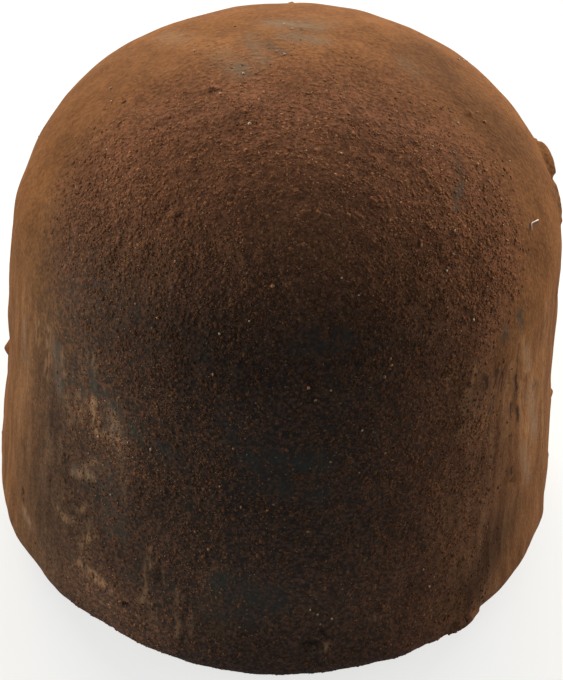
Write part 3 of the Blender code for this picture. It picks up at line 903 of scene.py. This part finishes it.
def grain_material(kind):
    """Cocoa of one kind, each grain with its own place between the kind's two colours."""
    made, tree, shader, coords = new_material(kind.name + "_cocoa")
    own = attribute_node(tree, "tint")
    grit = noise_node(tree, coords, GRAIN_GRIT_WAVE, detail=1.0)
    share = math_node(tree, "ADD", own, range_node(tree, grit, TINT_BY_GRIT))
    stops = ((0.0, kind.colour_low + (1.0,)), (1.0, kind.colour_high + (1.0,)))
    # Grains take the painted light and shade and the cast of their place as well
    tree.links.new(shaded(tree, ramp_node(tree, share, stops)), shader.inputs["Base Color"])
    shader.inputs["Roughness"].default_value = GRAIN_ROUGHNESS
    shader.inputs["Specular IOR Level"].default_value = GRAIN_GLOSS
    return made


def plain_material(name, colour, roughness):
    """One colour with a faint mottling."""
    made, tree, shader, coords = new_material(name)
    mottle = noise_node(tree, coords, PLAIN_MOTTLE)
    darker = tuple(part * PLAIN_DARKEST for part in colour[:3]) + (1.0,)
    tree.links.new(ramp_node(tree, mottle, ((0.3, darker), (0.7, colour))), shader.inputs["Base Color"])
    shader.inputs["Roughness"].default_value = roughness
    return made


def make_body():
    """The dressed body, which stands for the solid, and what is known of its crust."""
    smooth = turned_points()
    outward = outward_directions(smooth)
    state = crust_state(smooth, outward)
    relief = solid_relief(smooth) + crag_relief(smooth, state)
    rag = noise_at(smooth, MARK_RAG_WAVE, shift=6.3)
    for mark in FLAKES:
        over, rise = mark_reach(smooth, mark, rag)
        relief[over] = np.maximum(relief[over], rise + MARK_CRUST * relief[over])
    for mark in crumb_marks():
        over, rise = mark_reach(smooth, mark, rag)
        relief[over] = np.maximum(relief[over], rise - MARK_WEAR + MARK_CRUST * relief[over])
    for mark in PITS:
        over, rise = mark_reach(smooth, mark, rag)
        relief[over] = np.minimum(relief[over], rise + MARK_WEAR + MARK_CRUST * relief[over])
    from_middle = np.hypot(smooth[:, 0], smooth[:, 1])
    on_base = (smooth[:, 2] < HAIR) & (from_middle < FOOT_RADIUS - FOOT_ROUND - HAIR)
    relief[on_base] = 0
    points = smooth + outward * relief[:, None]
    points[:, 2] = np.maximum(points[:, 2], 0)
    quads, fans = body_faces(len(profile_rows()))
    body = add_piece("truffle_body", points, [quads, fans], crust_material())
    body.data.shade_smooth()
    for name, values in state.items():
        add_values(body.data, name, values)
    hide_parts("truffle")
    return points, quads, state


def grain_density(points, state):
    """How thickly grains lie at each point: dense on the dome, thin on the wall and where bare."""
    thin = (1 - CALM_THINNING * state["calm"]) ** 2
    thin *= 1 - RUBBED_THINNING * state["rubbed_and_shaded"]
    thin *= 1 - BLOOM_THINNING * state["bloom"]
    thin *= 1 - SMEAR_THINNING * state["smear"]
    gaps = smooth_step(noise_at(points, GAP_WAVE, shift=8.8), GAP_FROM, GAP_FULL)
    thin *= 1 - GAP_THINNING * gaps * state["rubbed_and_shaded"]
    thin *= 1 - LOW_WALL_THINNING * (1 - smooth_step(points[:, 2], LOW_WALL, SHOULDER_HEIGHT))
    clumps = np.clip(noise_at(points, CLUMP_WAVE, shift=1.3) + CLUMP_OFFSET, 0, 1)
    clumps = CLUMP_LEAST + CLUMP_GAIN * clumps
    above = np.where(points[:, 2] > LOWEST_GRAIN, 1.0, 0.0)
    return thin * clumps * above


def random_turns(rng, count):
    """Rotation matrices spread evenly over every direction."""
    four = rng.normal(size=(count, 4))
    w, x, y, z = (four / np.linalg.norm(four, axis=1)[:, None]).T
    rows = (
        (1 - 2 * (y * y + z * z), 2 * (x * y - w * z), 2 * (x * z + w * y)),
        (2 * (x * y + w * z), 1 - 2 * (x * x + z * z), 2 * (y * z - w * x)),
        (2 * (x * z - w * y), 2 * (y * z + w * x), 1 - 2 * (x * x + y * y)),
    )
    return np.stack([np.stack(row, axis=1) for row in rows], axis=1)


def speck_shape(name):
    """Corners and faces of a speck of unit size: eight faces if sharp, twenty if round."""
    if name == "sharp":
        return np.array(SHARP_CORNERS, float), np.array(SHARP_UPPER_FACES + SHARP_LOWER_FACES)
    mesh = bmesh.new()
    bmesh.ops.create_icosphere(mesh, subdivisions=1, radius=1.0)
    corners = np.array([vertex.co for vertex in mesh.verts])
    faces = np.array([[corner.index for corner in face.verts] for face in mesh.faces])
    mesh.free()
    return corners, faces


def rough_specks(rng, shape, places, outward, across, raggedness, sink, height):
    """Rough specks at places on the crust, flattened and sunk along its outward direction."""
    corners, sides = speck_shape(shape)
    count = len(places)
    half = rng.uniform(*across, count) * MM / 2
    flat = rng.uniform(*GRAIN_FLATNESS, (count, 1, 3))
    swell = 1 + rng.uniform(-raggedness, raggedness, (count, len(corners), 1))
    shapes = corners[None] * swell * flat
    turned = np.einsum("nij,nkj->nki", random_turns(rng, count), shapes) * half[:, None, None]
    upward = np.einsum("nkj,nj->nk", turned, outward)
    turned -= upward[:, :, None] * outward[:, None, :] * (1 - height[:, None, None])
    middles = places - outward * (half * sink)[:, None]
    points = (turned + middles[:, None, :]).reshape(-1, 3)
    faces = (sides[None] + len(corners) * np.arange(count)[:, None, None]).reshape(-1, 3)
    return points, faces


def scatter_grains(kind, points, quads, density, state):
    """One kind of grain over the crust, on quads drawn by their area and how thick grains lie."""
    rng = np.random.default_rng(kind.seed)
    corners = points[quads]
    across = np.cross(corners[:, 2] - corners[:, 0], corners[:, 3] - corners[:, 1])
    area = np.linalg.norm(across, axis=1)
    weight = area * density[quads].mean(axis=1)
    picked = rng.choice(len(quads), kind.count, p=weight / weight.sum())
    outward = across[picked] / area[picked][:, None]
    first, second = rng.random((2, kind.count, 1))
    upper = corners[picked, 0] * (1 - first) + corners[picked, 3] * first
    lower = corners[picked, 1] * (1 - first) + corners[picked, 2] * first
    places = upper * (1 - second) + lower * second
    height = GRAIN_HEIGHT + (GRAIN_SETTLED_HEIGHT - GRAIN_HEIGHT) * settled_share(places)
    made, faces = rough_specks(
        rng, kind.shape, places, outward, kind.across, GRAIN_RAGGEDNESS, GRAIN_SINK, height
    )
    piece = add_piece(kind.name, made, [faces], grain_material(kind))
    corner_count = len(made) // kind.count
    add_values(piece.data, "tint", np.repeat(rng.random(kind.count), corner_count))
    # Grains darker where the front is rubbed, as painted shade
    dimmed = {"painted_light_and_shade": state["painted_light_and_shade"] - GRAIN_PAINTED_SHADE * state["rubbed_and_shaded"], "thin": state["thin"]}
    for name, values in dimmed.items():
        add_values(piece.data, name, np.repeat(values[quads[picked, 0]], corner_count))


def nearest_on_body(place, points):
    return points[np.argmin(np.linalg.norm(points - place, axis=1))]


def add_specks(name, specks, colour, points):
    """Crumbs of one colour, each at its pixel of the photograph, as one piece."""
    rng = np.random.default_rng(SPECK_SEED)
    places = np.array([nearest_on_body(place_in_photo((x, y)), points) for x, y, size in specks])
    outward = outward_directions(np.vstack([[0, 0, TOTAL_HEIGHT], places]))[1:]
    vertices = []
    faces = []
    for place, away, (x, y, size) in zip(places, outward, specks):
        across = (size * SPECK_SWELL, size * SPECK_SWELL)
        made, sides = rough_specks(
            rng, "round", place[None], away[None], across, SPECK_RAGGEDNESS, -SPECK_SINK, np.ones(1)
        )
        faces.append(sides + len(vertices) * len(made))
        vertices.append(made)
    material = plain_material(name, colour, SPECK_ROUGHNESS)
    add_piece(name, np.vstack(vertices), [np.vstack(faces)], material)


def add_thread(points):
    """Bent thread: a thin tube with closed ends through its pixels, lying on the crust."""
    line = np.array([nearest_on_body(place_in_photo(pixel), points) for pixel in THREAD_PIXELS])
    outward = outward_directions(np.vstack([[0, 0, TOTAL_HEIGHT], line]))[1:]
    line = line + outward * THREAD_LIFT
    vertices = []
    for index, knot in enumerate(line):
        run = line[min(index + 1, len(line) - 1)] - line[max(index - 1, 0)]
        run = run / np.linalg.norm(run)
        side = np.cross(run, outward[index])
        side = side / np.linalg.norm(side)
        lift = np.cross(side, run)
        for step in range(THREAD_SIDES):
            angle = math.tau * step / THREAD_SIDES
            vertices.append(knot + THREAD_RADIUS * (side * math.cos(angle) + lift * math.sin(angle)))
    step = np.arange(THREAD_SIDES)
    following = (step + 1) % THREAD_SIDES
    quads = []
    for ring in range(len(line) - 1):
        low = ring * THREAD_SIDES
        high = low + THREAD_SIDES
        quads.append(np.column_stack([low + step, high + step, high + following, low + following]))
    last = (len(line) - 1) * THREAD_SIDES
    ends = np.array([step, last + step[::-1]])
    material = plain_material("lint", THREAD_COLOUR, THREAD_ROUGHNESS)
    add_piece("thread", np.array(vertices), [np.vstack(quads), ends], material)


def add_camera():
    place, forward, right, top = camera_frame()
    data = bpy.data.cameras.new("photo_camera")
    data.lens = LENS
    data.sensor_width = SENSOR
    data.sensor_fit = "AUTO"
    data.clip_start = CLIP_START
    camera = bpy.data.objects.new("photo_camera", data)
    turned = Matrix((right, top, -forward)).transposed().to_4x4()
    camera.matrix_world = Matrix.Translation(place) @ turned
    bpy.context.scene.collection.objects.link(camera)
    bpy.context.scene.camera = camera


def add_lights():
    target = Vector((0, 0, LIGHT_TARGET))
    for panel in PANELS:
        azimuth = math.radians(panel.azimuth)
        elevation = math.radians(panel.elevation)
        level = math.cos(elevation)
        away = Vector((math.cos(azimuth) * level, math.sin(azimuth) * level, math.sin(elevation)))
        data = bpy.data.lights.new(panel.name, "AREA")
        data.shape = "RECTANGLE"
        data.size = PANEL_WIDTH
        data.size_y = panel.height
        data.energy = panel.power
        data.color = PANEL_COLOUR
        light = bpy.data.objects.new(panel.name, data)
        light.location = target + away * PANEL_DISTANCE
        light.rotation_euler = away.to_track_quat("Z", "Y").to_euler()
        light.visible_camera = False
        bpy.context.scene.collection.objects.link(light)
    bpy.context.scene.view_settings.view_transform = "Standard"


def add_world():
    """Even sky that lights the truffle, and the pale backdrop that is seen in its place."""
    world = bpy.data.worlds.new("studio")
    world.use_nodes = True
    tree = world.node_tree
    sky = tree.nodes["Background"]
    sky.inputs["Color"].default_value = WORLD_COLOUR
    sky.inputs["Strength"].default_value = WORLD_STRENGTH
    backdrop = add_node(tree, "ShaderNodeBackground", {"Color": BACKDROP_COLOUR, "Strength": 1.0})
    seen = add_node(tree, "ShaderNodeLightPath", {}).outputs["Is Camera Ray"]
    both = add_node(tree, "ShaderNodeMixShader", {})
    tree.links.new(seen, both.inputs[0])
    tree.links.new(sky.outputs[0], both.inputs[1])
    tree.links.new(backdrop.outputs[0], both.inputs[2])
    tree.links.new(both.outputs[0], tree.nodes["World Output"].inputs["Surface"])
    bpy.context.scene.world = world


def floor_material():
    """Pale surface that mostly glows by itself, so that the truffle's shadow on it stays faint."""
    made = bpy.data.materials.new("floor")
    made.use_nodes = True
    shader = made.node_tree.nodes["Principled BSDF"]
    shader.inputs["Base Color"].default_value = FLOOR_ALBEDO
    shader.inputs["Roughness"].default_value = 1.0
    shader.inputs["Specular IOR Level"].default_value = 0.0
    shader.inputs["Emission Color"].default_value = FLOOR_COLOUR
    shader.inputs["Emission Strength"].default_value = FLOOR_GLOW
    return made


def add_floor():
    """Round floor, seen by the camera but throwing no light back."""
    turns = np.linspace(0, math.tau, FLOOR_SIDES, endpoint=False)
    points = FLOOR_RADIUS * np.column_stack([np.cos(turns), np.sin(turns), np.zeros(FLOOR_SIDES)])
    mesh = bpy.data.meshes.new("floor")
    fill_mesh(mesh, points, [np.arange(FLOOR_SIDES)[None]])
    mesh.materials.append(floor_material())
    floor = bpy.data.objects.new("floor", mesh)
    floor.visible_diffuse = False
    floor.visible_glossy = False
    bpy.context.scene.collection.objects.link(floor)


def build():
    add_camera()
    add_lights()
    add_world()
    add_floor()
    points, quads, state = make_body()
    density = grain_density(points, state)
    for kind in GRAINS:
        scatter_grains(kind, points, quads, density, state)
    add_specks("pale_specks", PALE_SPECKS, PALE_SPECK_COLOUR, points)
    add_specks("tan_specks", TAN_SPECKS, TAN_SPECK_COLOUR, points)
    add_thread(points)


build()
